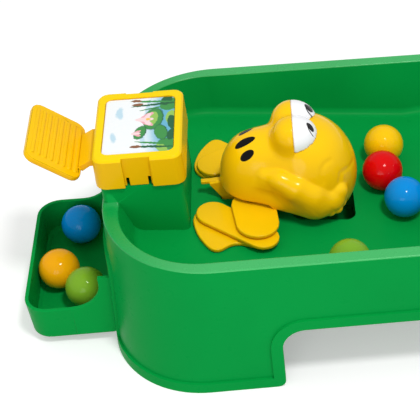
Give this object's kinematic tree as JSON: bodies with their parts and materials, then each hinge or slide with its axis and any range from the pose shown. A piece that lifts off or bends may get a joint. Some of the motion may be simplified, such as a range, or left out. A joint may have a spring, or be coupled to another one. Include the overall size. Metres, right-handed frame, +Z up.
{
  "type": "frog marble grabbing game",
  "caption": "Tabletop marble grabbing game: press levers drive sliding frogs over a sloping arena, and chutes feed lift-off catch trays at the ends.",
  "frame": {"origin": "on the table, under the middle of the board", "axes": "+X along the board from end a to end b, +Y to the far long side, +Z up"},
  "size_m": [0.386, 0.1596, 0.1021],
  "materials": {
    "ball_blue": "smooth moulded ball, glossy",
    "ball_olive": "smooth moulded ball, glossy",
    "ball_orange": "smooth moulded ball, glossy",
    "ball_red": "smooth moulded ball, glossy",
    "ball_yellow": "smooth moulded ball, glossy",
    "blue_plastic": "smooth moulded blue, semi-gloss",
    "green_plastic": "smooth moulded green, semi-gloss",
    "printed_card": "printed label, satin",
    "steel": "plain steel",
    "white_plastic": "smooth moulded white with dark pupils",
    "yellow_plastic": "smooth moulded yellow, semi-gloss"
  },
  "bodies": {
    "board": {"ball_chute_a": "green_plastic", "ball_chute_b": "green_plastic", "game_board": "green_plastic", "housing_cap_a": "yellow_plastic", "housing_cap_b": "blue_plastic", "left_foot_a": "yellow_plastic", "left_foot_b": "blue_plastic", "left_screw_a": "steel", "left_screw_b": "steel", "lever_pin_a": "steel", "lever_pin_b": "steel", "picture_card_a": "printed_card", "picture_card_b": "printed_card", "return_spring_a": "steel", "return_spring_b": "steel", "right_foot_a": "yellow_plastic", "right_foot_b": "blue_plastic", "right_screw_a": "steel", "right_screw_b": "steel", "slide_cover_a": "green_plastic", "slide_cover_b": "green_plastic"},
    "lever_a": {"press_lever_a": "yellow_plastic"},
    "slide_a": {"drive_slide_a": "yellow_plastic", "frog_pin_a": "steel"},
    "frog_a": {"frog_shell_a": "yellow_plastic", "frog_eyes_a": "white_plastic"},
    "tray_a": {"catch_tray_a": "green_plastic"},
    "left_shin_body_a": {"left_shin_a": "yellow_plastic"},
    "left_thigh_body_a": {"left_thigh_a": "yellow_plastic"},
    "right_shin_body_a": {"right_shin_a": "yellow_plastic"},
    "right_thigh_body_a": {"right_thigh_a": "yellow_plastic"},
    "lever_b": {"press_lever_b": "blue_plastic"},
    "slide_b": {"drive_slide_b": "blue_plastic", "frog_pin_b": "steel"},
    "frog_b": {"frog_shell_b": "blue_plastic", "frog_eyes_b": "white_plastic"},
    "tray_b": {"catch_tray_b": "green_plastic"},
    "left_shin_body_b": {"left_shin_b": "blue_plastic"},
    "left_thigh_body_b": {"left_thigh_b": "blue_plastic"},
    "right_shin_body_b": {"right_shin_b": "blue_plastic"},
    "right_thigh_body_b": {"right_thigh_b": "blue_plastic"},
    "arena_ball_blue_body": {"arena_ball_blue": "ball_blue"},
    "arena_ball_blue_2_body": {"arena_ball_blue_2": "ball_blue"},
    "arena_ball_olive_body": {"arena_ball_olive": "ball_olive"},
    "arena_ball_olive_2_body": {"arena_ball_olive_2": "ball_olive"},
    "arena_ball_orange_body": {"arena_ball_orange": "ball_orange"},
    "arena_ball_red_body": {"arena_ball_red": "ball_red"},
    "arena_ball_yellow_body": {"arena_ball_yellow": "ball_yellow"},
    "tray_ball_blue_body": {"tray_ball_blue": "ball_blue"},
    "tray_ball_olive_body": {"tray_ball_olive": "ball_olive"},
    "tray_ball_orange_body": {"tray_ball_orange": "ball_orange"},
    "tray_ball_red_body": {"tray_ball_red": "ball_red"},
    "tray_ball_yellow_body": {"tray_ball_yellow": "ball_yellow"}
  },
  "joints": [
    {"name": "press_a", "type": "hinge", "parent": "board", "child": "lever_a", "pos_m": [-0.137, 0, 0.088], "axis": [0, -1, 0], "range_deg": [0, 26], "stiffness_Nm_per_rad": 0.12, "springref_deg": -14.32},
    {"name": "slide_a", "type": "slide", "parent": "board", "child": "slide_a", "axis": [0.9951, 0, -0.0993], "range_m": [0, 0.01511], "deforming": ["return_spring_a"]},
    {"name": "frog_lift_a", "type": "hinge", "parent": "slide_a", "child": "frog_a", "pos_m": [-0.0885, 0, 0.06303], "axis": [0, -1, 0], "range_deg": [0, 18]},
    {"name": "tray_pull_a", "type": "slide", "parent": "board", "child": "tray_a", "axis": [-1, 0, 0], "range_m": [0, 0.03]},
    {"name": "left_ankle_a", "type": "hinge", "parent": "board", "child": "left_shin_body_a", "pos_m": [-0.10189, 0.0165, 0.05317], "axis": [0.0993, 0, 0.9951], "range_deg": [-4.1, 0]},
    {"name": "left_knee_a", "type": "hinge", "parent": "left_shin_body_a", "child": "left_thigh_body_a", "pos_m": [-0.07791, 0.0338, 0.05078], "axis": [0.0993, 0, 0.9951], "range_deg": [0, 38.91]},
    {"name": "right_ankle_a", "type": "hinge", "parent": "board", "child": "right_shin_body_a", "pos_m": [-0.10189, -0.0165, 0.05317], "axis": [0.0993, 0, 0.9951], "range_deg": [0, 4.1]},
    {"name": "right_knee_a", "type": "hinge", "parent": "right_shin_body_a", "child": "right_thigh_body_a", "pos_m": [-0.07791, -0.0338, 0.05078], "axis": [0.0993, 0, 0.9951], "range_deg": [-38.91, 0]},
    {"name": "press_b", "type": "hinge", "parent": "board", "child": "lever_b", "pos_m": [0.137, 0, 0.088], "axis": [0, 1, 0], "range_deg": [0, 26], "stiffness_Nm_per_rad": 0.12, "springref_deg": -14.32},
    {"name": "slide_b", "type": "slide", "parent": "board", "child": "slide_b", "axis": [-0.9951, 0, -0.0993], "range_m": [0, 0.01511], "deforming": ["return_spring_b"]},
    {"name": "frog_lift_b", "type": "hinge", "parent": "slide_b", "child": "frog_b", "pos_m": [0.0885, 0, 0.06303], "axis": [0, 1, 0], "range_deg": [0, 18]},
    {"name": "tray_pull_b", "type": "slide", "parent": "board", "child": "tray_b", "axis": [1, 0, 0], "range_m": [0, 0.03]},
    {"name": "left_ankle_b", "type": "hinge", "parent": "board", "child": "left_shin_body_b", "pos_m": [0.10189, -0.0165, 0.05317], "axis": [-0.0993, 0, 0.9951], "range_deg": [-4.1, 0]},
    {"name": "left_knee_b", "type": "hinge", "parent": "left_shin_body_b", "child": "left_thigh_body_b", "pos_m": [0.07791, -0.0338, 0.05078], "axis": [-0.0993, 0, 0.9951], "range_deg": [0, 38.91]},
    {"name": "right_ankle_b", "type": "hinge", "parent": "board", "child": "right_shin_body_b", "pos_m": [0.10189, 0.0165, 0.05317], "axis": [-0.0993, 0, 0.9951], "range_deg": [0, 4.1]},
    {"name": "right_knee_b", "type": "hinge", "parent": "right_shin_body_b", "child": "right_thigh_body_b", "pos_m": [0.07791, 0.0338, 0.05078], "axis": [-0.0993, 0, 0.9951], "range_deg": [-38.91, 0]},
    {"name": "arena_ball_lift_blue", "type": "slide", "parent": "board", "child": "arena_ball_blue_body", "axis": [0, 0, 1], "range_m": [0, 0.03]},
    {"name": "arena_ball_lift_blue_2", "type": "slide", "parent": "board", "child": "arena_ball_blue_2_body", "axis": [0, 0, 1], "range_m": [0, 0.03]},
    {"name": "arena_ball_lift_olive", "type": "slide", "parent": "board", "child": "arena_ball_olive_body", "axis": [0, 0, 1], "range_m": [0, 0.03]},
    {"name": "arena_ball_lift_olive_2", "type": "slide", "parent": "board", "child": "arena_ball_olive_2_body", "axis": [0, 0, 1], "range_m": [0, 0.03]},
    {"name": "arena_ball_lift_orange", "type": "slide", "parent": "board", "child": "arena_ball_orange_body", "axis": [0, 0, 1], "range_m": [0, 0.03]},
    {"name": "red_ball_roll", "type": "slide", "parent": "board", "child": "arena_ball_red_body", "axis": [1, 0, 0], "range_m": [0, 0.0136]},
    {"name": "arena_ball_lift_yellow", "type": "slide", "parent": "board", "child": "arena_ball_yellow_body", "axis": [0, 0, 1], "range_m": [0, 0.03]},
    {"name": "tray_ball_lift_blue", "type": "slide", "parent": "tray_a", "child": "tray_ball_blue_body", "axis": [0, 0, 1], "range_m": [0, 0.015]},
    {"name": "tray_ball_lift_olive", "type": "slide", "parent": "tray_a", "child": "tray_ball_olive_body", "axis": [0, 0, 1], "range_m": [0, 0.015]},
    {"name": "tray_ball_lift_orange", "type": "slide", "parent": "tray_a", "child": "tray_ball_orange_body", "axis": [0, 0, 1], "range_m": [0, 0.015]},
    {"name": "tray_ball_lift_red", "type": "slide", "parent": "tray_b", "child": "tray_ball_red_body", "axis": [0, 0, 1], "range_m": [0, 0.015]},
    {"name": "tray_ball_lift_yellow", "type": "slide", "parent": "tray_b", "child": "tray_ball_yellow_body", "axis": [0, 0, 1], "range_m": [0, 0.015]}
  ],
  "couplings": [
    {"joint": "slide_a", "follows": "press_a", "m_per_rad": 0.03308},
    {"joint": "left_ankle_a", "follows": "press_a", "ratio": -0.15626},
    {"joint": "left_knee_a", "follows": "press_a", "ratio": 1.4816},
    {"joint": "right_ankle_a", "follows": "press_a", "ratio": 0.15626},
    {"joint": "right_knee_a", "follows": "press_a", "ratio": -1.4816},
    {"joint": "slide_b", "follows": "press_b", "m_per_rad": 0.03308},
    {"joint": "left_ankle_b", "follows": "press_b", "ratio": -0.15626},
    {"joint": "left_knee_b", "follows": "press_b", "ratio": 1.4816},
    {"joint": "right_ankle_b", "follows": "press_b", "ratio": 0.15626},
    {"joint": "right_knee_b", "follows": "press_b", "ratio": -1.4816},
    {"joint": "red_ball_roll", "follows": "press_a", "m_per_rad": 0.02975}
  ]
}
